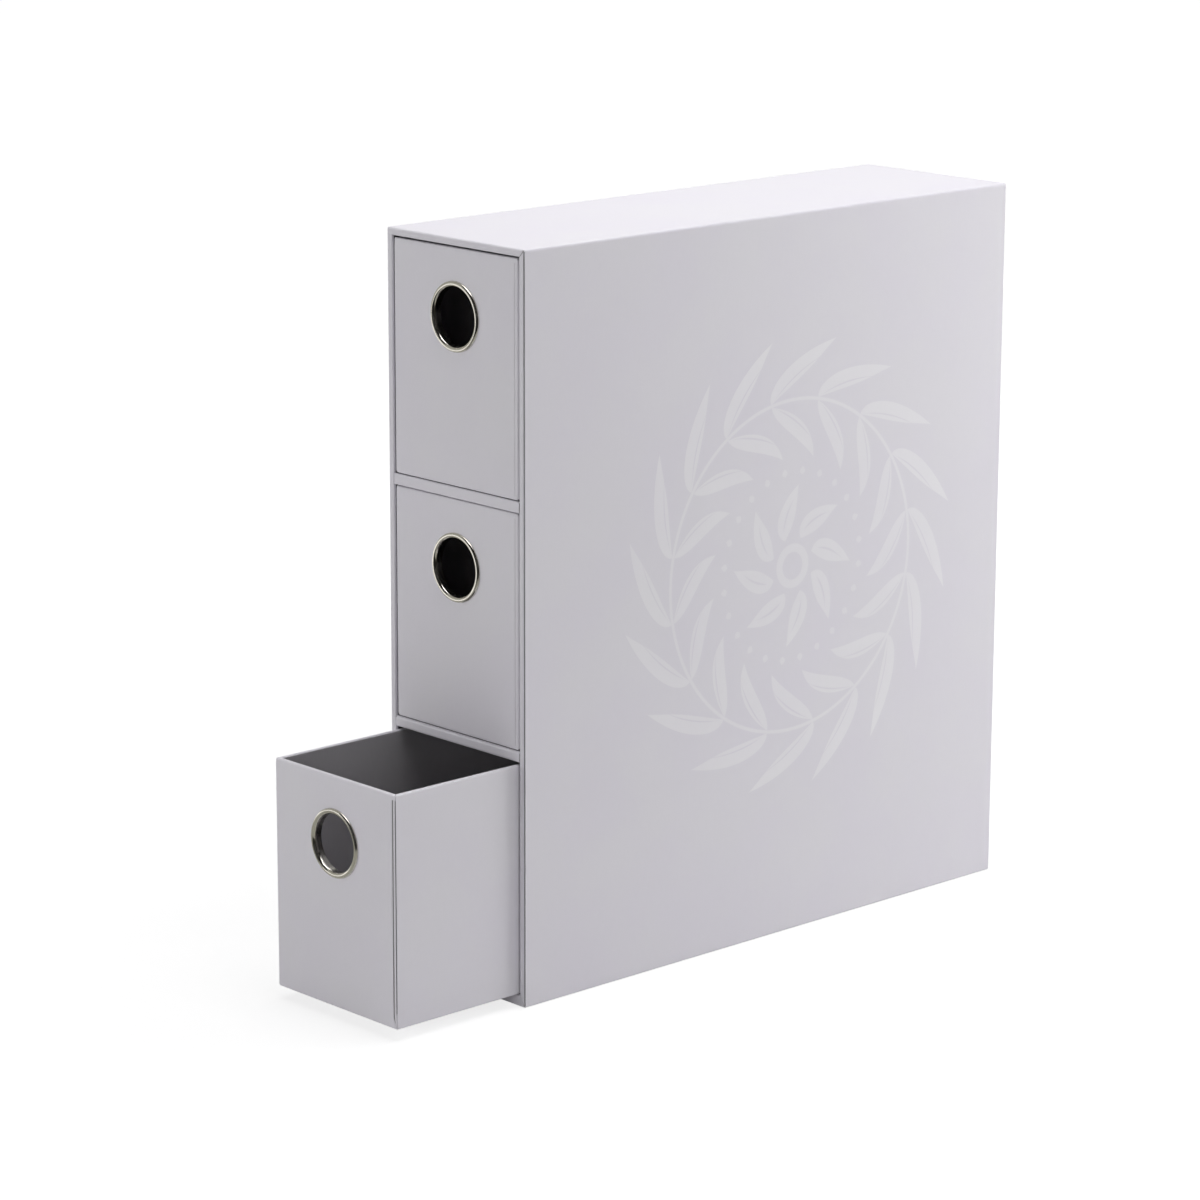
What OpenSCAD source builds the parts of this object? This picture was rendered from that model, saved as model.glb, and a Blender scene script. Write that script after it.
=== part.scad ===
// Drawer box for collecting cards: a rigid case of greyboard wrapped in paper,
// with three drawers that slide out of its front by a metal finger ring.
// X runs to the right, Y to the back and Z up. The origin is the centre of the
// case's base, on the surface that the case stands on.

/* [Case] */
// Width of the case
case_w = 90.5; // [70:0.5:160]
// Depth of the case, from front to back
case_d = 308; // [180:1:420]
// Height of the case
case_h = 340; // [220:1:480]
// Radius of the case's edges, outside the paper
case_fold_r = 1; // [0.6:0.1:2]

/* [Case boards] */
// Thickness of the side, top and back boards
case_board_t = 3; // [2:0.1:5]
// Thickness of the base board
base_board_t = 4.8; // [2:0.1:6]
// Thickness of the two shelf boards
shelf_board_t = 4.6; // [2:0.1:6]

/* [Case papers] */
// Thickness of the cover paper
cover_t = 0.25; // [0.1:0.05:0.4]
// Thickness of the dark paper inside the bays
lining_t = 0.25; // [0.1:0.05:0.4]
// Depth of the cover paper's turned-in edges at the front of the bays
front_turn_in = 12; // [3:1:30]
// Width of the open seam where two papers meet
seam_w = 0.6; // [0.2:0.1:1]
// How far the back and base sheets stay inside the case's edges
sheet_inset = 2.5; // [2:0.5:20]

/* [Drawers] */
// Thickness of a drawer's boards
drawer_board_t = 2; // [1:0.1:3]
// Thickness of the paper wrapped round a drawer
wrap_t = 0.2; // [0.1:0.05:0.4]
// Thickness of the dark paper inside a drawer
drawer_lining_t = 0.15; // [0.1:0.05:0.4]
// Radius of a drawer's edges, outside the paper
drawer_fold_r = 1; // [0.6:0.1:1.5]
// How far a drawer's lining stays below the rim
lining_drop = 0.4; // [0:0.1:3]
// How far the front flap of the wrap stops short of the drawer's right-hand edge
flap_margin = 2.1; // [1:0.1:6]
// Height at which the front flap's seam begins
flap_rise = 2.6; // [1:0.1:8]

/* [Fit of the drawers] */
// Clearance at each side of a drawer
side_gap = 0.8; // [0.3:0.1:2]
// Clearance over a closed drawer
top_gap = 0.8; // [0.3:0.1:4]
// Clearance under a drawer
run_gap = 0.3; // [0.3:0.1:1]
// Clearance behind a closed drawer
rear_gap = 1; // [0.3:0.1:5]
// How far a closed drawer's front stays behind the case's front
set_back = 0.3; // [0:0.1:3]
// Height that the lower bay has over the other two
lower_headroom = 0.3; // [0:0.1:6]
// How far the lower drawer stands open
lower_pull = 71; // [0:1:140]

/* [Finger rings] */
// Diameter of the opening for a finger
ring_hole_d = 26.5; // [12:0.5:27]
// Outer diameter of a ring's front flange
ring_flange_d = 31.6; // [31:0.1:44]
// Thickness of the sheet metal
ring_sheet_t = 0.35; // [0.2:0.05:0.5]
// Radius of the flange's two rounded edges, which is also how far it stands out
ring_bead_r = 1.1; // [0.7:0.05:1.25]
// Radius of the curl that closes the ring behind the board
ring_curl_r = 0.7; // [0.6:0.05:1.2]
// Clearance of the ring's barrel in the board
ring_fit = 0.1; // [0.05:0.05:0.5]
// Depth of a ring's centre below the drawer's rim
ring_drop = 30.3; // [24:0.1:60]
// Outer diameter of the washer behind the board
washer_d = 30.8; // [28.5:0.1:44]
// Thickness of the washer
washer_t = 0.4; // [0.3:0.05:1]

/* [Hidden] */
$fn = 96;

// Colours of the cover paper, the greyboard, the dark lining and the rings
paper_colour = [0.93, 0.915, 0.945];
sheet_colour = [0.9, 0.885, 0.92];
board_colour = [0.62, 0.6, 0.56];
lining_colour = [0.2, 0.195, 0.2];
metal_colour = [0.8, 0.79, 0.76];

// One overrun serves every cut that passes through a face
overrun = 1;

// Faces of the case
half_w = case_w / 2;
front_y = -case_d / 2;
back_y = case_d / 2;

// Whole walls of the case, with the thicker of the papers that face a drawer
bay_paper_t = max(cover_t, lining_t);
side_wall = cover_t + case_board_t + bay_paper_t;
base_wall = cover_t + base_board_t + bay_paper_t;
shelf_t = shelf_board_t + 2 * bay_paper_t;

// Inner faces of the case's boards
board_x = half_w - cover_t - case_board_t;
board_front_y = front_y + cover_t;
board_back_y = back_y - cover_t - case_board_t;
board_base_z = cover_t + base_board_t;
board_top_z = case_h - cover_t - case_board_t;

// Front edge of the right side sheet, behind the strip's paper
side_sheet_y = front_y + max(seam_w, cover_t);

// Edges of the turned-in paper at the front of the bays
turned_x = board_x - cover_t;
turned_base_z = board_base_z + cover_t;
turned_top_z = board_top_z - cover_t;
turned_y = front_y + front_turn_in;

// Bays, from the top down
bay_h = (case_h - side_wall - base_wall - 2 * shelf_t - lower_headroom) / 3;
upper_bay_z = case_h - side_wall - bay_h;
middle_bay_z = upper_bay_z - shelf_t - bay_h;
lower_bay_z = base_wall;
lower_bay_h = bay_h + lower_headroom;
upper_shelf_z = upper_bay_z - shelf_t;
lower_shelf_z = middle_bay_z - shelf_t;

// Size of a drawer
drawer_w = case_w - 2 * side_wall - 2 * side_gap;
drawer_l = case_d - set_back - side_wall - rear_gap;
drawer_h = bay_h - run_gap - top_gap;
drawer_x = drawer_w / 2;
drawer_skin = wrap_t + drawer_board_t;
drawer_wall = drawer_skin + drawer_lining_t;
drawer_board_x = drawer_x - drawer_skin;

// Finger ring, with its axis along the drawer and its face on the drawer's front
ring_in_r = ring_hole_d / 2;
ring_out_r = ring_flange_d / 2;
ring_z = drawer_h - ring_drop;
ring_seat_r = ring_in_r + ring_sheet_t + ring_fit;
barrel_l = drawer_wall + washer_t;

// Box between two opposite corners
module box(low, high) {
    translate(low) cube(high - low);
}

// Rectangle with round corners
module round_plate(size, r) {
    translate([r, 0]) square([size.x - 2 * r, size.y]);
    translate([0, r]) square([size.x, size.y - 2 * r]);
    for (x = [r, size.x - r], y = [r, size.y - r])
        translate([x, y]) circle(r);
}

// Block whose twelve edges are round
module soft_block(size, r) {
    intersection() {
        linear_extrude(height = size.z) round_plate([size.x, size.y], r);
        translate([0, size.y, 0]) rotate([90, 0, 0])
            linear_extrude(height = size.y) round_plate([size.x, size.z], r);
        rotate([90, 0, 90]) linear_extrude(height = size.x) round_plate([size.y, size.z], r);
    }
}

// The case's outer block, drawn in by an inset on every side
module case_block(inset) {
    translate([inset - half_w, front_y + inset, inset])
        soft_block([case_w, case_d, case_h] - 2 * inset * [1, 1, 1], case_fold_r - inset);
}

// One of the case's boards: what lies between two corners, inside the cover paper
module case_board(low, high) {
    color(board_colour) intersection() {
        case_block(cover_t);
        box(low, high);
    }
}

module left_side_board() {
    case_board([-half_w, front_y, 0], [-board_x, back_y, case_h]);
}

module right_side_board() {
    case_board([board_x, front_y, 0], [half_w, back_y, case_h]);
}

module top_board() {
    case_board([-board_x, front_y, board_top_z], [board_x, back_y, case_h]);
}

module base_board() {
    case_board([-board_x, front_y, 0], [board_x, back_y, board_base_z]);
}

module back_board() {
    case_board([-board_x, board_back_y, board_base_z], [board_x, back_y, board_top_z]);
}

// Shelf board glued between the side boards and the back board
module shelf_board(shelf_z) {
    color(board_colour)
        box([-board_x, board_front_y, shelf_z + bay_paper_t],
            [board_x, board_back_y, shelf_z + bay_paper_t + shelf_board_t]);
}

module upper_shelf_board() {
    shelf_board(upper_shelf_z);
}

module lower_shelf_board() {
    shelf_board(lower_shelf_z);
}

// Paper turned in along one side of the three bays, from one X to another
module side_turn_in(from_x, to_x) {
    zs = [board_base_z, lower_shelf_z, upper_shelf_z, board_top_z];
    for (bay = [0, 1, 2]) {
        low_z = bay == 0 ? board_base_z : zs[bay] + shelf_t - bay_paper_t;
        high_z = bay == 2 ? board_top_z : zs[bay + 1] + bay_paper_t;
        box([from_x, board_front_y, low_z], [to_x, turned_y, high_z]);
    }
}

// Front view of the strip at the right-hand side, with its ends cut to a mitre
module edging_outline() {
    polygon([
        [half_w - seam_w, seam_w],
        [turned_x, turned_base_z],
        [turned_x, turned_top_z],
        [half_w - seam_w, case_h - seam_w]
    ]);
}

// Front view of what the cover paper leaves open: the bays, the right-hand strip's place
// and the seam along the corner
module open_front_outline() {
    translate([-turned_x, turned_base_z]) square([2 * turned_x, turned_top_z - turned_base_z]);
    edging_outline();
    translate([half_w - seam_w, case_fold_r])
        square([seam_w + overrun, case_h - 2 * case_fold_r]);
}

// The front of the case from one Y to another, over an outline drawn in front view
module in_front(from_y, to_y) {
    translate([0, to_y, 0]) rotate([90, 0, 0]) linear_extrude(height = to_y - from_y) children();
}

// Flat sheets that are laid over the cover paper's turned-in margins. Each runs past both
// faces of that paper by a length: zero for the sheet, and more for its place in the paper
module side_sheet_block(past) {
    box([half_w - cover_t - past, side_sheet_y, case_fold_r],
        [half_w + past, back_y - case_fold_r, case_h - case_fold_r]);
}

module back_sheet_block(past) {
    box([sheet_inset - half_w, back_y - cover_t - past, sheet_inset],
        [half_w - sheet_inset, back_y + past, case_h - sheet_inset]);
}

module base_sheet_block(past) {
    box([sheet_inset - half_w, front_y + sheet_inset, -past],
        [half_w - sheet_inset, back_y - sheet_inset, cover_t + past]);
}

module right_side_sheet() {
    color(sheet_colour) side_sheet_block(0);
}

module back_sheet() {
    color(paper_colour) back_sheet_block(0);
}

module base_sheet() {
    color(paper_colour) base_sheet_block(0);
}

// Cover paper: left side, top and front, turned in round the back, base and right side
// and into the bays at the left, the top and the base
module case_cover_paper() {
    color(paper_colour) union() {
        difference() {
            case_block(0);
            case_block(cover_t);
            in_front(front_y - overrun, side_sheet_y + overrun) open_front_outline();
            side_sheet_block(overrun);
            back_sheet_block(overrun);
            base_sheet_block(overrun);
        }
        side_turn_in(-board_x, -turned_x);
        box([-turned_x, board_front_y, board_base_z], [turned_x, turned_y, turned_base_z]);
        box([-turned_x, board_front_y, turned_top_z], [turned_x, turned_y, board_top_z]);
    }
}

// Strip along the right-hand front edge, turned in to the three bays
module right_front_edging() {
    color(paper_colour) union() {
        in_front(front_y, board_front_y) edging_outline();
        side_turn_in(turned_x, board_x);
    }
}

// Paper strip folded round a shelf's front edge
module shelf_edging(shelf_z) {
    board_z = shelf_z + bay_paper_t;
    color(paper_colour) difference() {
        box([-turned_x, front_y, board_z - cover_t],
            [turned_x, turned_y, board_z + shelf_board_t + cover_t]);
        box([-turned_x - overrun, board_front_y, board_z],
            [turned_x + overrun, turned_y + overrun, board_z + shelf_board_t]);
    }
}

module upper_shelf_edging() {
    shelf_edging(upper_shelf_z);
}

module lower_shelf_edging() {
    shelf_edging(lower_shelf_z);
}

// Dark paper on all five walls of a bay, behind the turned-in edges
module bay_lining(bay_z, bay_height) {
    low_z = bay_z - bay_paper_t;
    high_z = bay_z + bay_height + bay_paper_t;
    color(lining_colour) difference() {
        box([-board_x, turned_y, low_z], [board_x, board_back_y, high_z]);
        box([lining_t - board_x, turned_y - overrun, low_z + lining_t],
            [board_x - lining_t, board_back_y - lining_t, high_z - lining_t]);
    }
}

module upper_bay_lining() {
    bay_lining(upper_bay_z, bay_h);
}

module middle_bay_lining() {
    bay_lining(middle_bay_z, bay_h);
}

module lower_bay_lining() {
    bay_lining(lower_bay_z, lower_bay_h);
}

// A drawer's own frame: centred in X, its front face at Y 0 and its underside at Z 0
module in_bay(bay_z, pull) {
    translate([0, front_y + set_back - pull, bay_z + run_gap]) children();
}

module upper_drawer() {
    in_bay(upper_bay_z, 0) children();
}

module middle_drawer() {
    in_bay(middle_bay_z, 0) children();
}

module lower_drawer() {
    in_bay(lower_bay_z, lower_pull) children();
}

// A drawer's outer block, drawn in by an inset on every side
module drawer_block(inset) {
    translate([inset - drawer_x, inset, inset])
        soft_block([drawer_w, drawer_l, drawer_h] - 2 * inset * [1, 1, 1], drawer_fold_r - inset);
}

// One of a drawer's boards: what lies between two corners, inside the wrap
module drawer_board(low, high) {
    color(board_colour) intersection() {
        drawer_block(wrap_t);
        box(low, high);
    }
}

// Hole for the finger ring, through the whole front wall
module ring_seat() {
    translate([0, drawer_wall + overrun, ring_z]) rotate([90, 0, 0])
        cylinder(h = drawer_wall + 2 * overrun, r = ring_seat_r);
}

module drawer_front_board() {
    difference() {
        drawer_board([-drawer_board_x, 0, 0], [drawer_board_x, drawer_skin, drawer_h]);
        ring_seat();
    }
}

module drawer_back_board() {
    drawer_board([-drawer_board_x, drawer_l - drawer_skin, 0],
                 [drawer_board_x, drawer_l, drawer_h]);
}

module drawer_left_board() {
    drawer_board([-drawer_x, 0, 0], [-drawer_board_x, drawer_l, drawer_h]);
}

module drawer_right_board() {
    drawer_board([drawer_board_x, 0, 0], [drawer_x, drawer_l, drawer_h]);
}

module drawer_floor_board() {
    drawer_board([-drawer_board_x, drawer_skin, 0],
                 [drawer_board_x, drawer_l - drawer_skin, drawer_skin]);
}

// Slit where the wrap's front flap stops short of the right-hand edge
module flap_seam() {
    box([drawer_x - flap_margin - seam_w, -overrun, flap_rise],
        [drawer_x - flap_margin, wrap_t + overrun, drawer_h - drawer_fold_r]);
}

// One sheet of paper folded round the tray and turned over its rim
module drawer_wrap() {
    color(paper_colour) difference() {
        drawer_block(0);
        drawer_block(wrap_t);
        box([-drawer_board_x, drawer_skin, drawer_skin],
            [drawer_board_x, drawer_l - drawer_skin, drawer_h + overrun]);
        ring_seat();
        flap_seam();
    }
}

// Dark paper on the drawer's floor and walls
module drawer_lining() {
    color(lining_colour) difference() {
        box([-drawer_board_x, drawer_skin, drawer_skin],
            [drawer_board_x, drawer_l - drawer_skin, drawer_h - lining_drop]);
        box([drawer_wall - drawer_x, drawer_wall, drawer_wall],
            [drawer_x - drawer_wall, drawer_l - drawer_wall, drawer_h + overrun]);
        ring_seat();
    }
}

// Turns a profile of radius and height into a ring whose height points out of the front
module on_front() {
    translate([0, 0, ring_z]) rotate([90, 0, 0]) rotate_extrude() children();
}

// The flange's outline over the drawer's front, for an edge radius
module bead_outline(r) {
    flat = ring_out_r - ring_in_r - 2 * ring_bead_r;
    intersection() {
        union() {
            translate([ring_in_r + ring_bead_r, 0]) circle(r);
            translate([ring_out_r - ring_bead_r, 0]) circle(r);
            translate([ring_in_r + ring_bead_r, -r]) square([flat, 2 * r]);
        }
        square([ring_out_r, ring_bead_r]);
    }
}

// Half circle behind the washer, for the curl
module curl_outline(r) {
    intersection() {
        translate([ring_in_r + ring_curl_r, -barrel_l]) circle(r);
        translate([ring_in_r, -barrel_l - ring_curl_r]) square([2 * ring_curl_r, ring_curl_r]);
    }
}

// Pressed ring: domed flange, barrel through the board and curl over the washer
module drawer_ring() {
    color(metal_colour) on_front() {
        difference() {
            bead_outline(ring_bead_r);
            bead_outline(ring_bead_r - ring_sheet_t);
        }
        translate([ring_in_r, -barrel_l]) square([ring_sheet_t, barrel_l]);
        difference() {
            curl_outline(ring_curl_r);
            curl_outline(ring_curl_r - ring_sheet_t);
        }
    }
}

// Flat washer between the lining and the ring's curl
module drawer_washer() {
    color(metal_colour) on_front()
        translate([ring_seat_r, -barrel_l])
            square([washer_d / 2 - ring_seat_r, washer_t]);
}

left_side_board();
right_side_board();
top_board();
base_board();
back_board();
upper_shelf_board();
lower_shelf_board();
case_cover_paper();
right_side_sheet();
back_sheet();
base_sheet();
right_front_edging();
upper_shelf_edging();
lower_shelf_edging();
upper_bay_lining();
middle_bay_lining();
lower_bay_lining();

upper_drawer() drawer_front_board();  // upper_drawer_front_board
upper_drawer() drawer_back_board();  // upper_drawer_back_board
upper_drawer() drawer_left_board();  // upper_drawer_left_board
upper_drawer() drawer_right_board();  // upper_drawer_right_board
upper_drawer() drawer_floor_board();  // upper_drawer_floor_board
upper_drawer() drawer_wrap();  // upper_drawer_wrap
upper_drawer() drawer_lining();  // upper_drawer_lining
upper_drawer() drawer_ring();  // upper_drawer_ring
upper_drawer() drawer_washer();  // upper_drawer_washer

middle_drawer() drawer_front_board();  // middle_drawer_front_board
middle_drawer() drawer_back_board();  // middle_drawer_back_board
middle_drawer() drawer_left_board();  // middle_drawer_left_board
middle_drawer() drawer_right_board();  // middle_drawer_right_board
middle_drawer() drawer_floor_board();  // middle_drawer_floor_board
middle_drawer() drawer_wrap();  // middle_drawer_wrap
middle_drawer() drawer_lining();  // middle_drawer_lining
middle_drawer() drawer_ring();  // middle_drawer_ring
middle_drawer() drawer_washer();  // middle_drawer_washer

lower_drawer() drawer_front_board();  // lower_drawer_front_board
lower_drawer() drawer_back_board();  // lower_drawer_back_board
lower_drawer() drawer_left_board();  // lower_drawer_left_board
lower_drawer() drawer_right_board();  // lower_drawer_right_board
lower_drawer() drawer_floor_board();  // lower_drawer_floor_board
lower_drawer() drawer_wrap();  // lower_drawer_wrap
lower_drawer() drawer_lining();  // lower_drawer_lining
lower_drawer() drawer_ring();  // lower_drawer_ring
lower_drawer() drawer_washer();  // lower_drawer_washer
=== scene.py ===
import math

import bmesh
import bpy
from mathutils import Matrix, Vector


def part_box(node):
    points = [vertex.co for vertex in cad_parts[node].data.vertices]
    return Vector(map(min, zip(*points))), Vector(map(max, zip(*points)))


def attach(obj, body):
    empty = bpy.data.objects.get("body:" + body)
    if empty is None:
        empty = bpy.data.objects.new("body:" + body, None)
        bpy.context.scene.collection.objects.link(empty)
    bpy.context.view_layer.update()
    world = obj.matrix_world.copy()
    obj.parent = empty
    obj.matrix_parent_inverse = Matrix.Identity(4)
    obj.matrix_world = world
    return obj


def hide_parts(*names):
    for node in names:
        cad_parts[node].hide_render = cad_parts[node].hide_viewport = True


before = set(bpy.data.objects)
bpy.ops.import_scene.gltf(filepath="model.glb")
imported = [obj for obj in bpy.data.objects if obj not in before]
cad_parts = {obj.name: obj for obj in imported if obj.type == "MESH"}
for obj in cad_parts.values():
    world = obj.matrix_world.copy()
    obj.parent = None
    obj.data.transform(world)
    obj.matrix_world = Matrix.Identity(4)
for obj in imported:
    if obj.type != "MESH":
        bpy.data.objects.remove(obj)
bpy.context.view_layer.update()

bl_info = {
    "name": "Trading card drawer box",
    "version": (1, 0, 0),
    "blender": (4, 5, 0),
    "location": "View3D > Sidebar > Drawer box",
    "description": "Papered case with three drawers, their pull rings and a plain pale studio",
    "category": "Object",
}

MM = 0.001
LEVELS = ("upper", "middle", "lower")
# Lengths in metres below which two places count as level, and two points as one
TINY = 0.00001
SAME_POINT = 1e-7
# Angle past which an edge is shaded sharp
SHARP_ANGLE = math.radians(40.0)


def corners(node):
    """Lowest and highest corner of a CAD node at rest"""
    low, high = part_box(node)
    return Vector(low), Vector(high)


COVER_LOW, COVER_HIGH = corners("case_cover_paper")
SHEET_LOW, SHEET_HIGH = corners("right_side_sheet")
STRIP_LOW, STRIP_HIGH = corners("right_front_edging")
SHELF_HIGH = corners("upper_shelf_edging")[1]
# The case's front opening: half its width, its foot and head, and how far its paper is turned in
OPEN_X = SHELF_HIGH.x
OPEN_LOW_Z = corners("lower_bay_lining")[0].z + SHEET_HIGH.x - SHEET_LOW.x
OPEN_HIGH_Z = corners("upper_bay_lining")[1].z - SHEET_HIGH.x + SHEET_LOW.x
TURNED_Y = SHELF_HIGH.y
# Middle of the wreath on the side sheet
WREATH_MIDDLE = Vector((0.0, 0.012, 0.176))

# The camera's place in metres, its yaw, pitch and roll in degrees, and its lens in millimetres
CAMERA_PLACE = (1.35920, -1.33664, 0.616)
CAMERA_TURN = (46.950, 13.643, 0.181)
CAMERA_LENS = 125.82
# Each lamp's name, its place, the point that it looks at, and its width and height, in metres
LAMPS = (
    ("top", (0.1, 0.1, 1.45), (0.0, 0.0, 0.2), 1.2, 1.2),
    ("front", (-1.1, -1.6, 0.3), (0.0, -0.1, 0.14), 0.9, 0.8),
    ("side", (0.5, 0.93, 0.34), (0.05, 0.05, 0.16), 0.6, 0.6),
    ("high", (1.3, -0.35, 1.0), (0.0, -0.12, 0.1), 0.6, 0.6),
    ("key", (0.8, -1.65, 0.62), (0.0, -0.15, 0.12), 0.6, 0.5),
)
# Each painted-reflection screen's name and tone, its start and sweep in degrees, and its profile of radius
# and height: glowing sheets that only glossy rays see, which paint dark, grey and bright reflections in the
# rings and the paper's sheen
PAINTED_REFLECTIONS = (
    ("curtain", (0.012, 0.011, 0.01), -118.0, 166.0, ((0.5, 0.001), (0.95, 0.001), (0.95, 2.2))),
    ("card", (1.2, 1.19, 1.16), -186.0, 68.0, ((0.62, 0.0006), (0.94, 0.0006), (0.94, 0.16))),
    ("table", (0.36, 0.36, 0.32), -204.0, 219.0, ((0.25, 0.0005), (0.62, 0.0005))),
    ("high screen", (0.36, 0.36, 0.32), -186.0, 68.0, ((0.94, 0.16), (0.94, 2.2))),
    ("left screen", (0.4, 0.4, 0.36), -204.0, 18.0, ((0.62, 0.0006), (0.95, 0.0006), (0.95, 2.2))),
)


def length(name, about, value):
    """A property that holds a length in metres"""
    return bpy.props.FloatProperty(
        name=name, description=about, default=value, min=0.0, soft_max=0.02,
        subtype="DISTANCE", unit="LENGTH", precision=5,
    )


def colour(name, about, value):
    """A property that holds a colour"""
    return bpy.props.FloatVectorProperty(
        name=name, description=about, default=value, size=3, min=0.0, max=1.0, subtype="COLOR",
    )


def power(name, about, value):
    """A property that holds a lamp's power"""
    return bpy.props.FloatProperty(name=name, description=about, default=value, min=0.0, unit="POWER")


class DrawerBoxSizes(bpy.types.PropertyGroup):
    """Lengths of the paper work and the rings"""

    paper: length("Cover paper", "Thickness of the case's cover paper", SHEET_HIGH.x - SHEET_LOW.x)
    case_fold: length("Case fold", "Radius of the folds along the case's outer edges", 1.0 * MM)
    opening_fold: length("Opening fold", "Radius of the folds round the case's front opening", 0.6 * MM)
    sheet_proud: length("Sheet edge", "How far the side sheet stands out from the margin", 0.12 * MM)
    sheet_front: length("Sheet's front edge", "Gap between the front face and the side sheet", 0.45 * MM)
    mitre_gap: length("Mitre gap", "Gap where two papers meet at a mitre", 0.6 * MM)
    shelf_fold: length("Shelf fold", "Radius of the folds along the lower shelf's front edge", 1.3 * MM)
    crisp_fold: length("Crisp fold", "Radius of the folds along the upper shelf's front edge", 0.7 * MM)
    wrap: length("Drawer paper", "Thickness of the paper round a drawer", 0.2 * MM)
    drawer_fold: length("Drawer fold", "Radius of a drawer's outer folds", 1.0 * MM)
    foot_fold: length("Foot fold", "Radius of the folds along a drawer's two lower edges", 1.5 * MM)
    rim_fold: length("Rim fold", "Radius of the fold inside a drawer's rim", 0.5 * MM)
    rim_width: length("Rim width", "Width of a drawer's papered rim", 2.33 * MM)
    rim_taper: length("Rim taper", "Height below the rim over which a drawer's outside draws in", 3.0 * MM)
    rim_draw: length("Rim draw", "How far a drawer's outside draws in at the rim", 0.16 * MM)
    flap_end: length("Flap end", "Distance from a drawer's right side to the end of its front flap", 2.3 * MM)
    flap_slit: length("Flap slit", "Width of the slit beside a drawer's front flap", 0.9 * MM)
    hairline: length("Hairline", "Width of the slit beside a tight front flap", 0.2 * MM)
    middle_rise: length("Middle rise", "How far the middle drawer's rim stands above its boards", 0.4 * MM)
    ring_sheet: length("Ring sheet", "Thickness of the rings' metal", 0.35 * MM)
    ring_width: length("Ring width", "Width of a ring's rounded flange, seen from the front", 2.55 * MM)


class DrawerBoxColours(bpy.types.PropertyGroup):
    """Colours of the finishes"""

    paper: colour("Cover paper", "Pale lilac grey paper on the case and drawers", (0.845, 0.823, 0.880))
    print_tone: colour("Print", "Paler ink of the design on the side sheet", (0.93, 0.915, 0.95))
    board: colour("Greyboard", "Bare board in the seams", (0.34, 0.325, 0.34))
    # The lining is grey paper, but this tone is set much paler than the paper's own dark grey: painted light
    # that stands in for light the lamps don't bring inside the drawers and bays
    lining: colour("Lining", "Grey paper inside the drawers and bays", (0.46, 0.446, 0.469))
    # Painted shade: a dark tone laid on the paper turned in behind the bays' front edges, so that the gaps
    # round the drawers read dark
    painted_gap_shade: colour("Turned-in edge", "Dark edge strip behind the front of the bays", (0.09, 0.087, 0.092))
    metal: colour("Ring metal", "Bright plated metal of the rings", (0.78, 0.75, 0.69))
    floor: colour("Floor", "Pale floor", (0.8, 0.8, 0.8))


class DrawerBoxStudio(bpy.types.PropertyGroup):
    """Lamps of the studio"""

    top: power("Top lamp", "Power of the lamp above", 15.7)
    front: power("Front lamp", "Power of the lamp in front, to the left", 10.2)
    side: power("Side lamp", "Power of the lamp at the right, behind", 5.6)
    high: power("High lamp", "Power of the lamp high at the right", 1.6)
    key: power("Key lamp", "Power of the lamp in front, to the right", 2.1)
    fill: bpy.props.FloatProperty(
        name="Room light", description="Strength of the plain light from all round", default=0.01, min=0.0)


def sizes():
    return bpy.context.scene.drawer_box_sizes


def colours():
    return bpy.context.scene.drawer_box_colours


def add_box(bm, low, high):
    """Adds a box between two corners"""
    made = bmesh.ops.create_cube(bm, size=1.0)
    bmesh.ops.scale(bm, vec=high - low, verts=made["verts"])
    bmesh.ops.translate(bm, vec=(low + high) / 2, verts=made["verts"])


def add_path(bm, places):
    """Adds a line through some places and returns its vertices and its edges"""
    verts = [bm.verts.new(place) for place in places]
    return verts, [bm.edges.new(pair) for pair in zip(verts, verts[1:])]


def grow_edges(bm, edges):
    """Extrudes some edges and returns the new vertices"""
    grown = bmesh.ops.extrude_edge_only(bm, edges=edges)["geom"]
    return [part for part in grown if isinstance(part, bmesh.types.BMVert)]


def add_strip(bm, places, way):
    """Adds a sheet that a line through some places sweeps along a way"""
    moved = grow_edges(bm, add_path(bm, places)[1])
    bmesh.ops.translate(bm, vec=way, verts=moved)
    bmesh.ops.recalc_face_normals(bm, faces=bm.faces)


def spin_path(bm, places, middle, axis, turn, steps, close=False):
    """Adds a sheet that a line through some places sweeps round an axis"""
    path, edges = add_path(bm, places)
    bmesh.ops.spin(
        bm, geom=path + edges, cent=middle, axis=axis, dvec=(0.0, 0.0, 0.0),
        angle=turn, steps=steps, use_merge=close, use_duplicate=False,
    )


def turn_in(bm, face, way):
    """Turns the outline of a face in along a way, as an open tube"""
    tube = bmesh.ops.extrude_discrete_faces(bm, faces=[face])["faces"][0]
    bmesh.ops.translate(bm, vec=way, verts=tube.verts)
    bmesh.ops.delete(bm, geom=[tube], context="FACES")


def near(a, b):
    return abs(a - b) < TINY


def edges_at(bm, test):
    """Edges whose two ends both pass a test of their place"""
    return [e for e in bm.edges if all(test(v.co) for v in e.verts)]


def faces_facing(bm, axis, sign, place):
    """Faces on a plane across an axis, that face one way"""
    return [
        f for f in bm.faces
        if near(f.calc_center_median()[axis], place) and f.normal[axis] * sign > 0.9
    ]


def round_edges(bm, edges, radius, segments=5):
    bmesh.ops.bevel(
        bm, geom=edges, offset=radius, offset_type="OFFSET", segments=segments, profile=0.5,
        affect="EDGES", clamp_overlap=True, material=-1,
    )


def front_folds(bm, front_y):
    """Level edges of a front face"""
    front = edges_at(bm, lambda co: near(co.y, front_y))
    return [e for e in front if near(e.verts[0].co.z, e.verts[1].co.z)]


def turn_to_front(bm, front_y):
    """Turns a sheet's faces round if its front faces backwards"""
    bm.normal_update()
    if not faces_facing(bm, 1, -1, front_y):
        bmesh.ops.reverse_faces(bm, faces=bm.faces)


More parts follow.
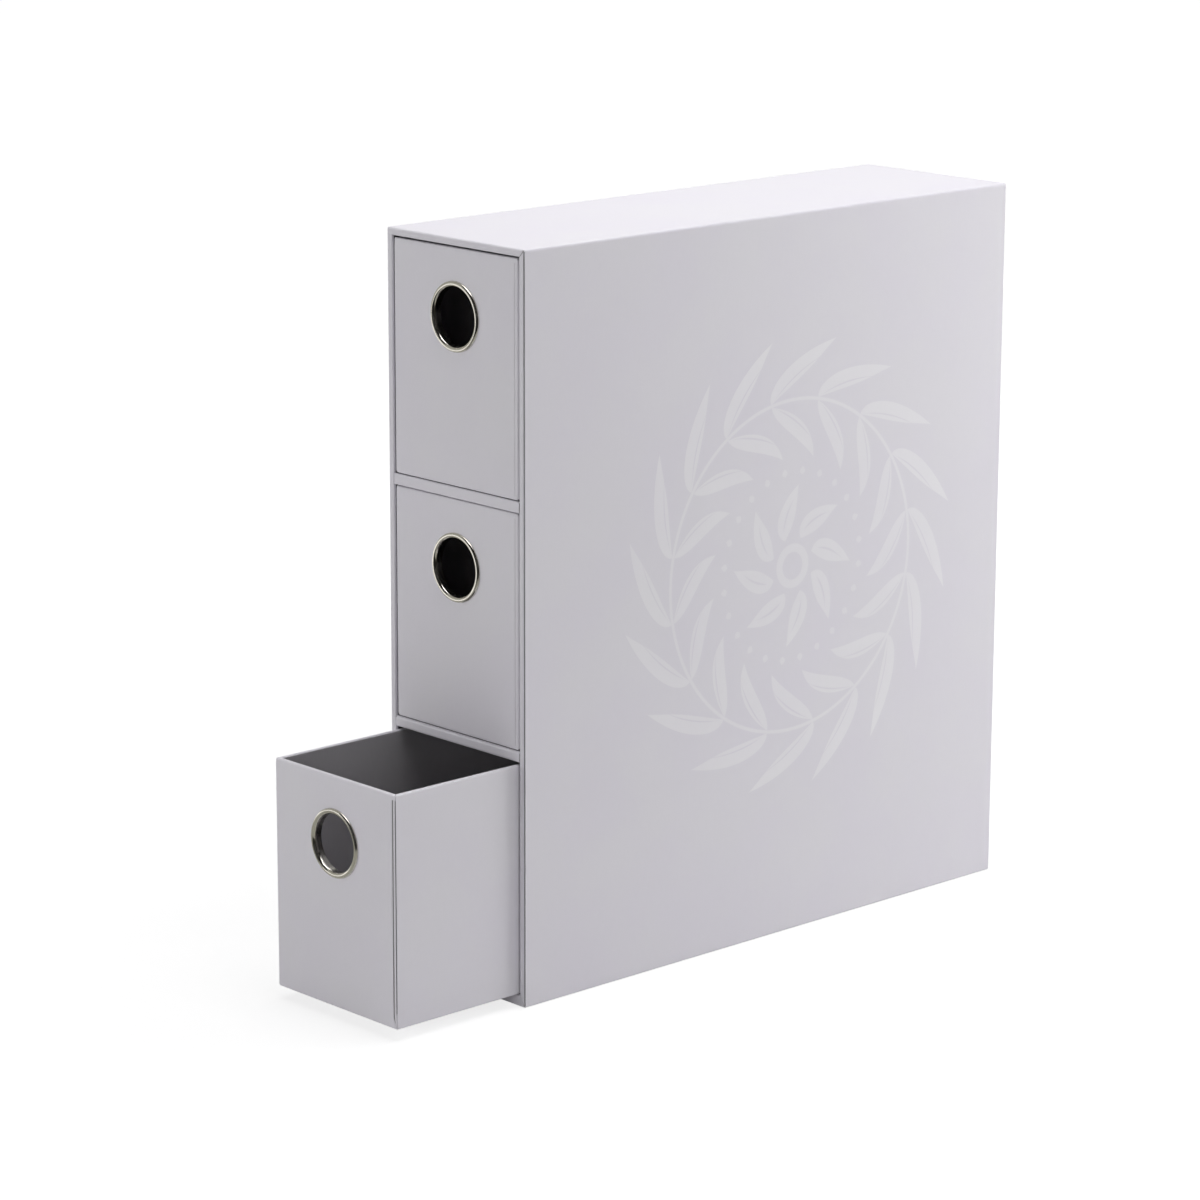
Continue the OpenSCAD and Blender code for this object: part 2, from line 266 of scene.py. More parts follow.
def cut(bm, place, normal, keep):
    """Cuts the faces that pass a test along a plane"""
    bm.normal_update()
    faces = [f for f in bm.faces if keep(f)]
    parts = dict.fromkeys([v for f in faces for v in f.verts] + [e for f in faces for e in f.edges] + faces)
    bmesh.ops.bisect_plane(bm, geom=list(parts), dist=SAME_POINT, plane_co=place, plane_no=normal)


def cut_across(bm, axis, places, keep):
    """Cuts the faces that pass a test at places along an axis: 0, 1 or 2"""
    for place in places:
        normal = Vector((0.0, 0.0, 0.0))
        normal[axis] = 1.0
        cut(bm, normal * place, normal, keep)


def drop_faces(bm, test):
    """Deletes the faces whose middle passes a test"""
    bm.normal_update()
    gone = [f for f in bm.faces if test(f.calc_center_median(), f.normal)]
    bmesh.ops.delete(bm, geom=gone, context="FACES")


def add_object(name, data):
    """Puts a mesh, a light or a camera in the scene"""
    made = bpy.data.objects.new(name, data)
    bpy.context.collection.objects.link(made)
    return made


def new_object(bm, name):
    """Makes an object of a bmesh"""
    mesh = bpy.data.meshes.new(name)
    bm.to_mesh(mesh)
    bm.free()
    return add_object(name, mesh)


def finish_piece(bm, name, body, material, stands_for, sheet=0.0):
    """Makes a piece of a bmesh, with a sheet's thickness where one is given, and ties it to its body"""
    bmesh.ops.remove_doubles(bm, verts=bm.verts, dist=SAME_POINT)
    bmesh.ops.dissolve_degenerate(bm, dist=SAME_POINT, edges=bm.edges)
    for face in bm.faces:
        face.smooth = True
    for edge in bm.edges:
        if len(edge.link_faces) == 2:
            edge.smooth = edge.calc_face_angle() < SHARP_ANGLE
    piece = new_object(bm, name)
    if sheet:
        wall = piece.modifiers.new("paper thickness", "SOLIDIFY")
        wall.thickness = sheet
        wall.offset = -1.0
        wall.use_even_offset = True
        wall.use_rim = True
    even = piece.modifiers.new("even shading", "WEIGHTED_NORMAL")
    even.keep_sharp = True
    piece.data.materials.append(material)
    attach(piece, body)
    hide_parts(stands_for)


def link(tree, socket, value):
    """Feeds a socket from another socket, or sets its own value"""
    if isinstance(value, bpy.types.NodeSocket):
        tree.links.new(value, socket)
    else:
        socket.default_value = value


def add_node(tree, kind, inputs=None, **settings):
    """Adds a shader node, feeds its inputs and makes its settings"""
    made = tree.nodes.new("ShaderNode" + kind)
    for name, value in settings.items():
        setattr(made, name, value)
    for name, value in (inputs or {}).items():
        link(tree, made.inputs[name], value)
    return made


def maths(tree, operation, *values):
    made = add_node(tree, "Math", operation=operation)
    for socket, value in zip(made.inputs, values):
        link(tree, socket, value)
    return made.outputs[0]


def times(tree, first, second):
    return maths(tree, "MULTIPLY", first, second)


def plus(tree, first, second):
    return maths(tree, "ADD", first, second)


def minus(tree, first, second):
    return maths(tree, "SUBTRACT", first, second)


def step_range(tree, value, low, high, to_low=0.0, to_high=1.0):
    """Smooth step of a value from one level to another"""
    made = add_node(tree, "MapRange", {
        "Value": value, "From Min": low, "From Max": high, "To Min": to_low, "To Max": to_high,
    }, interpolation_type="SMOOTHSTEP")
    return made.outputs["Result"]


def weighted(tree, *parts):
    """Sum of some values, each times its weight"""
    scaled = [times(tree, value, weight) for value, weight in parts]
    total = scaled[0]
    for part in scaled[1:]:
        total = plus(tree, total, part)
    return total


def blend_colours(tree, factor, first, second):
    made = add_node(tree, "Mix", data_type="RGBA", blend_type="MIX")
    link(tree, made.inputs[0], factor)
    link(tree, made.inputs[6], first)
    link(tree, made.inputs[7], second)
    return made.outputs[2]


def noise(tree, place, scale, detail=2.0, roughness=0.5):
    made = add_node(tree, "TexNoise", {
        "Vector": place, "Scale": scale, "Detail": detail, "Roughness": roughness,
    })
    return made.outputs[0]


def new_group(name, inputs, outputs):
    """Starts a shader node group with named inputs and outputs"""
    tree = bpy.data.node_groups.new(name, "ShaderNodeTree")
    for label, kind, value in inputs:
        socket = tree.interface.new_socket(name=label, in_out="INPUT", socket_type="NodeSocket" + kind)
        if value is not None:
            socket.default_value = value
    for label, kind in outputs:
        tree.interface.new_socket(name=label, in_out="OUTPUT", socket_type="NodeSocket" + kind)
    return tree, tree.nodes.new("NodeGroupInput"), tree.nodes.new("NodeGroupOutput")


def use_group(tree, name, **inputs):
    made = add_node(tree, "Group", node_tree=bpy.data.node_groups[name])
    for label, value in inputs.items():
        link(tree, made.inputs[label.replace("_", " ")], value)
    return made.outputs


def make_fibre_group():
    """Fibres and soft clouds of a coloured paper or board"""
    tree, start, end = new_group("Paper fibre", (
        ("Place", "Vector", None), ("Colour", "Color", (0.8, 0.8, 0.8, 1.0)),
        ("Fibre size", "Float", 0.0005), ("Variation", "Float", 0.04), ("Roughness", "Float", 0.5),
    ), (("Colour", "Color"), ("Roughness", "Float"), ("Height", "Float")))
    place = start.outputs["Place"]
    scale = maths(tree, "DIVIDE", 1.0, start.outputs["Fibre size"])
    fine = noise(tree, place, scale, 3.0, 0.6)
    stretched = add_node(tree, "Mapping", {"Vector": place, "Scale": (1.0, 1.0, 0.22)})
    strands = noise(tree, stretched.outputs[0], times(tree, scale, 0.45), 2.0, 0.55)
    clouds = noise(tree, place, 22.0, 3.0, 0.5)
    broad = noise(tree, place, 5.0, 1.0, 0.5)
    mottle = weighted(tree, (fine, 0.35), (strands, 0.35), (clouds, 0.2), (broad, 0.1))
    shift = times(tree, minus(tree, mottle, 0.5), start.outputs["Variation"])
    shade = add_node(tree, "HueSaturation", {
        "Color": start.outputs["Colour"], "Value": plus(tree, 1.0, shift),
        "Saturation": step_range(tree, clouds, 0.3, 0.7, 0.85, 1.15),
    })
    link(tree, end.inputs["Colour"], shade.outputs[0])
    rough = times(tree, minus(tree, fine, 0.5), 0.25)
    link(tree, end.inputs["Roughness"], plus(tree, start.outputs["Roughness"], rough))
    link(tree, end.inputs["Height"], weighted(tree, (fine, 0.5), (strands, 0.5)))


def make_wear_group():
    """Mask along the edges of a box between two corners, broken up as by handling"""
    tree, start, end = new_group("Edge wear", (
        ("Place", "Vector", None), ("Low", "Vector", None), ("High", "Vector", None),
        ("Width", "Float", 0.0012),
    ), (("Wear", "Float"),))
    split = [add_node(tree, "SeparateXYZ", {"Vector": start.outputs[at]}) for at in ("Place", "Low", "High")]
    gaps = []
    for axis in range(3):
        here, low, high = (part.outputs[axis] for part in split)
        under = maths(tree, "ABSOLUTE", minus(tree, here, low))
        over = maths(tree, "ABSOLUTE", minus(tree, high, here))
        gaps.append(maths(tree, "MINIMUM", under, over))
    less = maths(tree, "MINIMUM", gaps[0], gaps[1])
    more = maths(tree, "MAXIMUM", gaps[0], gaps[1])
    second = maths(tree, "MAXIMUM", less, maths(tree, "MINIMUM", more, gaps[2]))
    band = step_range(tree, second, 0.0, start.outputs["Width"], 1.0, 0.0)
    rubbed = step_range(tree, noise(tree, start.outputs["Place"], 160.0, 4.0, 0.65), 0.35, 0.7)
    link(tree, end.inputs["Wear"], times(tree, band, rubbed))


def make_wreath_group():
    """Mask of a plain wreath of curved leaves on both sides of a hoop, across the X axis"""
    tree, start, end = new_group("Leaf wreath", (
        ("Place", "Vector", None), ("Middle", "Vector", None),
    ), (("Ink", "Float"),))
    offset = add_node(tree, "VectorMath", {0: start.outputs["Place"], 1: start.outputs["Middle"]},
                      operation="SUBTRACT")
    parts = add_node(tree, "SeparateXYZ", {"Vector": offset.outputs[0]})
    along, up = parts.outputs[1], parts.outputs[2]
    reach = maths(tree, "SQRT", plus(tree, times(tree, along, along), times(tree, up, up)))
    turn = maths(tree, "ARCTAN2", up, along)

    def leaves(count, twist, inner, outer, width):
        """Leaves that start at one radius and end at another, each turned by the twist"""
        travel = add_node(tree, "MapRange", {"Value": reach, "From Min": inner, "From Max": outer})
        way = travel.outputs["Result"]
        swept = plus(tree, turn, times(tree, way, twist))
        turns = times(tree, swept, count / (2 * math.pi))
        beside = maths(tree, "ABSOLUTE", minus(tree, maths(tree, "FRACT", turns), 0.5))
        gap = times(tree, times(tree, beside, reach), 2 * math.pi / count)
        belly = maths(tree, "SINE", times(tree, maths(tree, "POWER", way, 0.8), math.pi))
        room = minus(tree, times(tree, belly, width), gap)
        return step_range(tree, room, 0.0001, 0.0009)

    def hoop(radius, half):
        """Hoop of a radius and half its width"""
        miss = maths(tree, "ABSOLUTE", minus(tree, reach, radius))
        return step_range(tree, miss, half - 0.0004, half + 0.0004, 1.0, 0.0)

    outside = leaves(count=16, twist=0.46, inner=0.0785, outer=0.1075, width=0.0086)
    inside = leaves(count=16, twist=0.46, inner=0.0775, outer=0.0505, width=0.0070)
    outside_vein = leaves(count=16, twist=0.46, inner=0.0785, outer=0.1020, width=0.0012)
    inside_vein = leaves(count=16, twist=0.46, inner=0.0775, outer=0.0560, width=0.0012)
    heart = leaves(count=8, twist=0.5, inner=0.0130, outer=0.0390, width=0.0062)
    heart_vein = leaves(count=8, twist=0.5, inner=0.0160, outer=0.0350, width=0.0011)
    berries = leaves(count=24, twist=0.0, inner=0.0425, outer=0.0470, width=0.0022)
    ink = minus(tree, outside, outside_vein)
    for shape in (
        minus(tree, inside, inside_vein),
        minus(tree, heart, heart_vein),
        times(tree, berries, 0.8),
        hoop(radius=0.0780, half=0.0008),
        hoop(radius=0.0085, half=0.0020),
        0.0,
    ):
        ink = maths(tree, "MAXIMUM", ink, shape)
    patchy = step_range(tree, noise(tree, start.outputs["Place"], 9.0, 2.0), 0.3, 0.75, 0.65, 1.0)
    link(tree, end.inputs["Ink"], times(tree, ink, patchy))


def start_material(name):
    material = bpy.data.materials.new(name)
    material.use_nodes = True
    tree = material.node_tree
    shader = tree.nodes["Principled BSDF"]
    place = add_node(tree, "TexCoord").outputs["Object"]
    return material, tree, shader, place


def with_alpha(value):
    return tuple(value) + (1.0,)


def dress(node, material):
    """Gives a CAD node one material in place of its own"""
    node.data.materials.clear()
    node.data.materials.append(material)


def painted_gap_shade_mask(tree, place):
    """Mask of the painted shade on the paper turned in behind the case's front edges, from about a millimetre
    in
    """
    parts = add_node(tree, "SeparateXYZ", {"Vector": place})
    near_front, far_front = COVER_LOW.y + 0.9 * MM, COVER_LOW.y + 1.5 * MM
    near_side, far_side = 0.4 * MM, 0.8 * MM
    across = maths(tree, "ABSOLUTE", parts.outputs[0])
    masks = (
        step_range(tree, parts.outputs[1], near_front, far_front),
        step_range(tree, across, OPEN_X + near_side, OPEN_X + far_side, 1.0, 0.0),
        step_range(tree, parts.outputs[2], OPEN_HIGH_Z + near_side, OPEN_HIGH_Z + far_side, 1.0, 0.0),
        step_range(tree, parts.outputs[2], OPEN_LOW_Z - far_side, OPEN_LOW_Z - near_side),
    )
    whole = times(tree, masks[0], masks[1])
    return times(tree, whole, times(tree, masks[2], masks[3]))


def paper_finish(name, tone, low, high, fibre, variation, roughness, wear_tone, wear_amount, bump,
                 middle=None, painted_gap_shade=False):
    """Paper or board with fibres, clouds and rubbed edges; the side sheet's also carries the wreath, and the
    case's paper can carry painted shade where it is turned in behind the front edges
    """
    material, tree, shader, place = start_material(name)
    base = with_alpha(tone)
    if middle is not None:
        ink = use_group(tree, "Leaf wreath", Place=place, Middle=middle)["Ink"]
        base = blend_colours(tree, ink, base, with_alpha(colours().print_tone))
    # Painted shade: the turned-in paper goes dark a millimetre or so behind the front edges, where the gaps
    # are in shade
    if painted_gap_shade:
        base = blend_colours(tree, painted_gap_shade_mask(tree, place), base, with_alpha(colours().painted_gap_shade))
    paper = use_group(tree, "Paper fibre", Place=place, Colour=base, Fibre_size=fibre,
                      Variation=variation, Roughness=roughness)
    wear = use_group(tree, "Edge wear", Place=place, Low=low, High=high)["Wear"]
    worn = times(tree, wear, wear_amount)
    link(tree, shader.inputs["Base Color"], blend_colours(tree, worn, paper["Colour"], with_alpha(wear_tone)))
    rough = plus(tree, paper["Roughness"], times(tree, wear, 0.12))
    if middle is not None:
        rough = minus(tree, rough, times(tree, ink, 0.08))
    link(tree, shader.inputs["Roughness"], rough)
    relief = add_node(tree, "Bump", {"Height": paper["Height"], "Strength": bump, "Distance": 0.04 * MM})
    link(tree, shader.inputs["Normal"], relief.outputs[0])
    shader.inputs["Specular IOR Level"].default_value = 0.35
    return material


def cover_finish(name, low, high, middle=None, painted_gap_shade=False):
    tone = Vector(colours().paper)
    return paper_finish(
        name, tone, low, high, fibre=0.0006, variation=0.05, roughness=0.5,
        wear_tone=tone * 1.06, wear_amount=0.35, bump=0.25, middle=middle, painted_gap_shade=painted_gap_shade)


def board_finish(name, low, high):
    tone = Vector(colours().board)
    return paper_finish(
        name, tone, low, high, fibre=0.0009, variation=0.35, roughness=0.85,
        wear_tone=tone * 0.8, wear_amount=0.5, bump=0.6)


def lining_finish(name, low, high):
    # Painted light: the pale lining tone stands in for light inside the drawers and bays
    tone = Vector(colours().lining)
    return paper_finish(
        name, tone, low, high, fibre=0.0007, variation=0.16, roughness=0.62,
        wear_tone=tone * 1.5, wear_amount=0.4, bump=0.4)


def metal_finish(name, roughness, seat_y=None):
    """Bright plated steel with faint draw marks and a slight tarnish, darkened by painted shade inside the
    barrel behind the seat of a flange, where it is also rougher
    """
    material, tree, shader, place = start_material(name)
    drawn = add_node(tree, "Mapping", {"Vector": place, "Scale": (1.0, 6.0, 1.0)})
    marks = noise(tree, drawn.outputs[0], 900.0, 3.0, 0.6)
    tarnish = step_range(tree, noise(tree, place, 120.0, 3.0, 0.6), 0.35, 0.75)
    tone = Vector(colours().metal)
    tarnished_tone, painted_barrel_shade = tone * 0.88, tone * 0.38
    base = blend_colours(tree, tarnish, with_alpha(tone), with_alpha(tarnished_tone))
    rough = plus(tree, roughness, times(tree, marks, 0.08))
    # Painted shade: the metal inside the hollow barrel, behind the seat, is darkened as if in shade, and made
    # rougher
    if seat_y is not None:
        depth = add_node(tree, "SeparateXYZ", {"Vector": place}).outputs[1]
        barrel = step_range(tree, depth, seat_y + 0.3 * MM, seat_y + 1.0 * MM)
        base = blend_colours(tree, barrel, base, with_alpha(painted_barrel_shade))
        rough = plus(tree, rough, times(tree, barrel, 0.12))
    link(tree, shader.inputs["Base Color"], base)
    link(tree, shader.inputs["Roughness"], plus(tree, rough, times(tree, tarnish, 0.05)))
    relief = add_node(tree, "Bump", {"Height": marks, "Strength": 0.1, "Distance": 0.02 * MM})
    link(tree, shader.inputs["Normal"], relief.outputs[0])
    shader.inputs["Metallic"].default_value = 1.0
    return material


class DRAWERBOX_OT_finishes(bpy.types.Operator):
    """Make the shared node groups and give the bare boards, linings, sheets and washers their finish"""

    bl_idname = "drawer_box.finishes"
    bl_label = "Finishes"

    def execute(self, context):
        make_fibre_group()
        make_wear_group()
        make_wreath_group()
        washer = metal_finish("washer metal", roughness=0.3)
        for name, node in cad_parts.items():
            low, high = corners(name)
            if name.endswith("board"):
                dress(node, board_finish(name + " finish", low, high))
            elif name.endswith("lining"):
                dress(node, lining_finish(name + " finish", low, high))
            elif name.endswith("washer"):
                dress(node, washer)
            elif name in ("back_sheet", "base_sheet"):
                dress(node, cover_finish(name + " finish", low, high))
        return {"FINISHED"}


class DRAWERBOX_OT_case_paper(bpy.types.Operator):
    """Build the case's cover paper, the strip along its right-hand edge and its side sheet"""

    bl_idname = "drawer_box.case_paper"
    bl_label = "Case paper"

    def strip_mitres(self):
        """Place of the mitre at each end of the strip, and its way into the strip"""
        seam_x, front_y = STRIP_HIGH.x, COVER_LOW.y
        foot_way = Vector((OPEN_LOW_Z - STRIP_LOW.z, 0.0, seam_x - OPEN_X)).normalized()
        head_way = Vector((STRIP_HIGH.z - OPEN_HIGH_Z, 0.0, OPEN_X - seam_x)).normalized()
        return (
            (Vector((seam_x, front_y, STRIP_LOW.z)), foot_way),
            (Vector((seam_x, front_y, STRIP_HIGH.z)), head_way),
        )

    def build_cover(self, size, finish):
        """Folds the cover round the case and its front opening, and cuts away what the strip covers"""
        back_margin = 1.0 * MM
        low = Vector((COVER_LOW.x, COVER_LOW.y, size.sheet_proud))
        high = Vector((
            SHEET_HIGH.x - size.sheet_proud, SHEET_HIGH.y + back_margin - size.sheet_proud, COVER_HIGH.z,
        ))
        front_y, seam_x = low.y, STRIP_HIGH.x
        bm = bmesh.new()
        add_box(bm, low, high)
        front = faces_facing(bm, 1, -1, front_y)[0]
        bmesh.ops.inset_individual(bm, faces=[front], thickness=MM)
        for vert in front.verts:
            vert.co.x = OPEN_X if vert.co.x > 0 else -OPEN_X
            vert.co.z = OPEN_HIGH_Z if vert.co.z > high.z / 2 else OPEN_LOW_Z
        turn_in(bm, front, (0.0, TURNED_Y - front_y, 0.0))

        def on_shell(co):
            return sum((
                near(co.x, low.x) or near(co.x, high.x),
                near(co.y, low.y) or near(co.y, high.y),
                near(co.z, low.z) or near(co.z, high.z),
            )) == 3

        def on_opening(co):
            return near(co.y, front_y) and near(abs(co.x), OPEN_X) and low.z + TINY < co.z < high.z - TINY

        round_edges(bm, edges_at(bm, on_shell), size.case_fold)
        round_edges(bm, edges_at(bm, on_opening), size.opening_fold, 4)

        half = size.mitre_gap / 2
        mitres = [(place - way * half, way) for place, way in self.strip_mitres()]
        side_y = front_y + size.sheet_front + size.mitre_gap

        def beside(face):
            middle = face.calc_center_median()
            return middle.x > OPEN_X - MM and middle.y < TURNED_Y + TINY

        def on_side(face):
            return face.calc_center_median().x > seam_x

        for place, way in mitres:
            cut(bm, place, way, beside)
        cut_across(bm, 0, (seam_x,), beside)
        cut_across(bm, 2, (SHEET_LOW.z, SHEET_HIGH.z), on_side)
        cut_across(bm, 1, (side_y,), on_side)

        def in_strip(middle, normal):
            if middle.x > seam_x:
                return SHEET_LOW.z < middle.z < SHEET_HIGH.z and middle.y < side_y
            if middle.x < OPEN_X - TINY or middle.y > TURNED_Y or normal.x > 0.9:
                return False
            if normal.x < -0.9 and middle.x < OPEN_X + TINY:
                return True
            return all((middle - place).dot(way) > 0 for place, way in mitres)

        drop_faces(bm, in_strip)
        finish_piece(bm, "case_cover", "case", finish, "case_cover_paper", size.paper)

    def build_strip(self, size, finish):
        """Folds the strip round the opening's right-hand edge and mitres both its ends"""
        front_y = COVER_LOW.y
        bm = bmesh.new()
        add_strip(bm, (
            (STRIP_HIGH.x, front_y, 0.0), (OPEN_X, front_y, 0.0), (OPEN_X, TURNED_Y, 0.0),
        ), (0.0, 0.0, COVER_HIGH.z))
        fold = edges_at(bm, lambda co: near(co.x, OPEN_X) and near(co.y, front_y))
        round_edges(bm, fold, size.opening_fold, 4)
        for place, way in self.strip_mitres():
            bmesh.ops.bisect_plane(
                bm, geom=bm.verts[:] + bm.edges[:] + bm.faces[:], dist=SAME_POINT,
                plane_co=place + way * size.mitre_gap / 2, plane_no=way, clear_inner=True,
            )
        turn_to_front(bm, front_y)
        finish_piece(bm, "right_strip", "case", finish, "right_front_edging", size.paper)

    def build_side_sheet(self, size, finish):
        """Lays the side sheet on, with its outer edges a little rounded"""
        low = Vector((SHEET_LOW.x, COVER_LOW.y + size.sheet_front, SHEET_LOW.z))
        edge_radius = 0.12 * MM
        bm = bmesh.new()
        add_box(bm, low, SHEET_HIGH)
        outer = edges_at(bm, lambda co: near(co.x, SHEET_HIGH.x))
        round_edges(bm, outer, edge_radius, 3)
        finish_piece(bm, "side_sheet_face", "case", finish, "right_side_sheet")

    def execute(self, context):
        size = sizes()
        finish = cover_finish("case cover finish", COVER_LOW, COVER_HIGH, painted_gap_shade=True)
        self.build_cover(size, finish)
        self.build_strip(size, finish)
        self.build_side_sheet(size, cover_finish("side sheet finish", SHEET_LOW, SHEET_HIGH, WREATH_MIDDLE))
        return {"FINISHED"}


class DRAWERBOX_OT_shelves(bpy.types.Operator):
    """Build both shelves' boards and the paper folded round their front edges"""

    bl_idname = "drawer_box.shelves"
    bl_label = "Shelves"

    def build_board(self, name, size, fold, finish):
        """Rounds the board's front edges to fit inside the paper's folds"""
        low, high = corners(name)
        low.x, high.x = -OPEN_X, OPEN_X
        bm = bmesh.new()
        add_box(bm, low, high)
        round_edges(bm, front_folds(bm, low.y), fold - size.paper, 6)
        finish_piece(bm, name.replace("board", "core"), "case", finish, name)

    def build_edge(self, name, size, fold, finish):
        """Folds the paper round the shelf's front edge, a little short of the case's sides"""
        low, high = corners(name)
        short = 0.15 * MM
        bm = bmesh.new()
        add_strip(bm, [(low.x + short, y, z) for y, z in (
            (high.y, low.z), (low.y, low.z), (low.y, high.z), (high.y, high.z),
        )], (high.x - low.x - 2 * short, 0.0, 0.0))
        turn_to_front(bm, low.y)
        round_edges(bm, front_folds(bm, low.y), fold, 6)
        finish_piece(bm, name.replace("edging", "edge"), "case", finish, name, size.paper)

    def execute(self, context):
        size = sizes()
        for level, fold in (("upper", size.crisp_fold), ("lower", size.shelf_fold)):
            board, edging = level + "_shelf_board", level + "_shelf_edging"
            self.build_board(board, size, fold, board_finish(level + " shelf core finish", *corners(board)))
            self.build_edge(edging, size, fold, cover_finish(
                level + " shelf edge finish", *corners(edging), painted_gap_shade=True))
        return {"FINISHED"}


class DRAWERBOX_OT_drawer_papers(bpy.types.Operator):
    """Build the paper round each drawer, with its rim, its flap seams and the ring's hole"""

    bl_idname = "drawer_box.drawer_papers"
    bl_label = "Drawer papers"

    def cut_ring_hole(self, bm, middle, radius):
        """Cuts a round hole in the flat front: a square patch goes and its outline is drawn in to a circle"""
        reach = radius * 1.4
        front_y = middle.y

        def flat_front(face):
            return face.normal.y < -0.99 and near(face.calc_center_median().y, front_y)

        for axis in (Vector((1.0, 0.0, 0.0)), Vector((0.0, 0.0, 1.0))):
            cut(bm, middle - axis * reach, axis, flat_front)
            cut(bm, middle + axis * reach, axis, flat_front)
        patch = [f for f in bm.faces if flat_front(f) and (f.calc_center_median() - middle).length < MM]
        square = list(patch[0].edges)
        bmesh.ops.delete(bm, geom=patch, context="FACES_ONLY")
        bmesh.ops.subdivide_edges(bm, edges=square, cuts=15)
        outline = [e for e in bm.edges if e.is_boundary and all(
            near(v.co.y, front_y) and (v.co - middle).length < reach * 1.5 for v in e.verts)]
        for vert in grow_edges(bm, outline):
            vert.co = middle + (vert.co - middle).normalized() * radius

    def build(self, level, size):
        """Folds a drawer's paper: the lower drawer's lies loose at its front corner, the others' tight"""
        low, high = corners(level + "_drawer_wrap")
        rim_turn, hole_spare = 6 * MM, 0.05 * MM
        front_y = low.y
        loose = level == "lower"
        if level == "middle":
            high.z += size.middle_rise
        bm = bmesh.new()
        add_box(bm, low, high)
        top = faces_facing(bm, 2, 1, high.z)[0]
        bmesh.ops.inset_individual(bm, faces=[top], thickness=size.rim_width, use_even_offset=True)
        turn_in(bm, top, (0.0, 0.0, -rim_turn))
        foot_fold = size.drawer_fold * 1.1 if loose else size.foot_fold
        inner_x = high.x - size.rim_width + TINY
        inner_low_y, inner_high_y = low.y + size.rim_width - TINY, high.y - size.rim_width + TINY

        def on_rim(edge):
            return near(edge.verts[0].co.z, high.z) and near(edge.verts[1].co.z, high.z)

        def meets_wall(edge):
            return any(abs(f.normal.z) < 0.5 for f in edge.link_faces)

        def seamed(edge):
            return loose and all(near(v.co.x, high.x) and near(v.co.y, front_y) for v in edge.verts)

        for side_x in (low.x, high.x):
            round_edges(bm, edges_at(bm, lambda co: near(co.x, side_x) and near(co.z, low.z)), foot_fold)
        for end_y in (low.y, high.y):
            ends = edges_at(bm, lambda co: near(co.y, end_y))
            round_edges(bm, [e for e in ends if not on_rim(e) and not seamed(e)], size.drawer_fold)
        inside = set(edges_at(bm, lambda co: abs(co.x) < inner_x and inner_low_y < co.y < inner_high_y))
        outer = [e for e in bm.edges if on_rim(e) and meets_wall(e) and e not in inside]
        round_edges(bm, outer, size.drawer_fold)
        bm.normal_update()
        inner = [e for e in edges_at(bm, lambda co: abs(co.x) < inner_x) if on_rim(e) and meets_wall(e)]
        round_edges(bm, inner, size.rim_fold, 4)
        self.taper_rim(bm, low, high, size)
        if loose:
            self.cut_loose_flap(bm, low, high, size)
        else:
            self.cut_tight_flap(bm, low, high, size)
        self.cut_mitres(bm, low, high, size)
        ring_low, ring_high = corners(level + "_drawer_ring")
        middle = (ring_low + ring_high) / 2
        middle.y = front_y
        barrel = (ring_high.x - ring_low.x) / 2 - size.ring_width + size.ring_sheet
        self.cut_ring_hole(bm, middle, barrel + hole_spare)
        finish = cover_finish(level + " drawer finish", low, high)
        finish_piece(bm, level + "_drawer_cover", level + "_drawer", finish,
                     level + "_drawer_wrap", size.wrap)

    def taper_rim(self, bm, low, high, size):
        """Draws the outside in a little towards the rim, where the board is pressed thinner"""
        start = high.z - size.rim_taper
        skin, deep = 2 * MM, 1.6 * MM

        def outside(face):
            middle = face.calc_center_median()
            beside = abs(middle.x) > high.x - skin
            at_end = min(middle.y - low.y, high.y - middle.y) < skin
            return abs(face.normal.z) < 0.2 and (beside or at_end) and middle.z < high.z - size.drawer_fold

        def within(co):
            return abs(co.x) < high.x - deep and low.y + deep < co.y < high.y - deep

        cut_across(bm, 2, [start + size.rim_taper * part for part in (0.0, 0.25, 0.5)], outside)
        inset = size.drawer_fold
        for vert in bm.verts:
            if vert.co.z < start or within(vert.co):
                continue
            core = Vector((
                min(max(vert.co.x, low.x + inset), high.x - inset),
                min(max(vert.co.y, low.y + inset), high.y - inset),
                vert.co.z,
            ))
            way = vert.co - core
            if way.length > TINY:
                rise = (vert.co.z - start) / size.rim_taper
                vert.co -= way.normalized() * (size.rim_draw * rise * rise)

    def front_test(self, front_y):
        """Test of whether a face lies in a drawer's front"""
        return lambda face: face.calc_center_median().y < front_y + 0.01 * MM and face.normal.y < -0.9

    def cut_tight_flap(self, bm, low, high, size):
        """Opens a hairline beside the front flap of a drawer whose paper lies tight"""
        flap_x = high.x - size.flap_end
        slit_low, slit_top = low.z + 1.9 * MM, high.z - 1.6 * MM

        on_front = self.front_test(low.y)
        cut_across(bm, 0, (flap_x, flap_x + size.hairline), on_front)
        cut_across(bm, 2, (slit_low, slit_top), on_front)
        drop_faces(bm, lambda middle, normal: (
            slit_low < middle.z < slit_top and normal.y < -0.9 and flap_x < middle.x < flap_x + size.hairline
        ))

    def cut_loose_flap(self, bm, low, high, size):
        """Opens the slit beside the front flap, bent to the corner at its foot, and one along the corner"""
        front_y = low.y
        flap_x = high.x - size.flap_end
        bead_x = flap_x + size.flap_slit
        corner_x = high.x - 0.4 * MM
        corner_y = front_y + 0.35 * MM
        foot_x = high.x - 0.2 * MM
        foot_y = front_y + 0.1 * MM
        tip_x = high.x - 0.85 * MM
        slit_low = low.z + 1.9 * MM
        slit_bend = low.z + 5.3 * MM
        slit_top = high.z - 1.6 * MM
        corner_top = high.z - size.drawer_fold

        on_front = self.front_test(front_y)

        def on_side(face):
            return face.normal.x > 0.9

